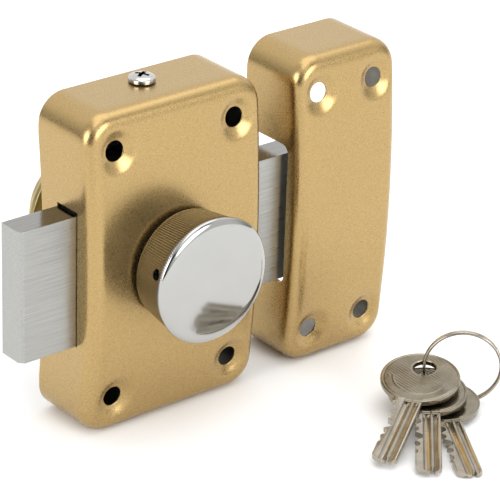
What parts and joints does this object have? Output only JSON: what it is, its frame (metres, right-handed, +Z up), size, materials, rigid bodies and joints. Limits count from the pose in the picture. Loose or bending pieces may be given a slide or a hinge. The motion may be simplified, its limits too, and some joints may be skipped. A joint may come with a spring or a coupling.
{
  "type": "rim deadlock with knob and key cylinder",
  "caption": "Surface-mounted rim door lock: pressed steel case with sliding bolt, round inside knob, outside key cylinder, matching keeper and a ring of keys.",
  "frame": {"origin": "middle of the flat underside of the lock case, at mid width and mid depth", "axes": "+X is the way the bolt is thrown, towards the keeper; +Y points from the room into the door; +Z is up"},
  "size_m": [0.1413, 0.1411, 0.1086],
  "materials": {
    "gold_paint": "metallic gold paint, satin",
    "zinc_steel": "zinc plated",
    "brushed_steel": "brushed, nickel plated",
    "chrome": "polished",
    "brass": "satin",
    "nickel": "nickel plated, satin",
    "spring_steel": "plain"
  },
  "bodies": {
    "case": {"case_cover": "gold_paint", "base_plate": "zinc_steel", "cover_screw": "chrome", "guide_rail_upper": "zinc_steel", "guide_rail_lower": "zinc_steel", "rail_rivet_1": "zinc_steel", "rail_rivet_2": "zinc_steel", "rail_rivet_3": "zinc_steel", "rail_rivet_4": "zinc_steel", "spring_rivet": "zinc_steel", "detent_spring": "spring_steel", "front_bush": "brass", "rear_bush": "brass", "cylinder_body": "brass", "cylinder_rose": "brass", "cylinder_screw_1": "zinc_steel", "cylinder_screw_2": "zinc_steel", "driver_pin_1": "brass", "driver_pin_2": "brass", "driver_pin_3": "brass", "driver_pin_4": "brass", "driver_pin_5": "brass", "pin_spring_1": "spring_steel", "pin_spring_2": "spring_steel", "pin_spring_3": "spring_steel", "pin_spring_4": "spring_steel", "pin_spring_5": "spring_steel"},
    "keeper": {"keeper": "gold_paint"},
    "bolt": {"bolt": "brushed_steel"},
    "knob": {"knob_body": "chrome", "knob_cap": "chrome", "knob_set_screw": "zinc_steel", "spindle": "zinc_steel", "spindle_pin": "zinc_steel", "spindle_circlip": "spring_steel", "pinion": "zinc_steel"},
    "plug": {"plug": "brass", "plug_clip": "spring_steel", "tailpiece": "zinc_steel", "key_pin_1": "brass", "key_pin_2": "brass", "key_pin_3": "brass", "key_pin_4": "brass", "key_pin_5": "brass"},
    "key_ring": {"key_ring": "nickel"},
    "key_1": {"key_1": "nickel"},
    "key_2": {"key_2": "nickel"},
    "key_3": {"key_3": "nickel"}
  },
  "joints": [
    {"name": "knob_turn", "type": "hinge", "parent": "case", "child": "knob", "pos_m": [0, -0.024, 0.053], "axis": [0, 1, 0], "range_deg": [-360, 0]},
    {"name": "bolt_throw", "type": "slide", "parent": "case", "child": "bolt", "axis": [1, 0, 0], "range_m": [-0.02514, 0], "deforming": ["detent_spring"]},
    {"name": "plug_turn", "type": "hinge", "parent": "case", "child": "plug", "pos_m": [0, 0.028, 0.053], "axis": [0, 1, 0], "range_deg": [-360, 0]},
    {"name": "keeper_slide", "type": "slide", "parent": "case", "child": "keeper", "axis": [1, 0, 0], "range_m": [0, 0.04]},
    {"name": "key_ring_lift", "type": "slide", "parent": "case", "child": "key_ring", "axis": [0, 0, 1], "range_m": [0, 0.1]},
    {"name": "key_1_swing", "type": "hinge", "parent": "key_ring", "child": "key_1", "pos_m": [0.06867, -0.05342, 0.01079], "axis": [-0.14, -0.0898, 0.9861], "range_deg": [-25, 0]},
    {"name": "key_2_swing", "type": "hinge", "parent": "key_ring", "child": "key_2", "pos_m": [0.06836, -0.0553, 0.00714], "axis": [-0.0703, -0.0797, 0.9943], "range_deg": [0, 2]},
    {"name": "key_3_swing", "type": "hinge", "parent": "key_ring", "child": "key_3", "pos_m": [0.07064, -0.05737, 0.0034], "axis": [-0.0229, -0.0403, 0.9989], "range_deg": [-3, 2]}
  ],
  "couplings": [
    {"joint": "bolt_throw", "follows": "knob_turn", "m_per_rad": 0.004}
  ]
}
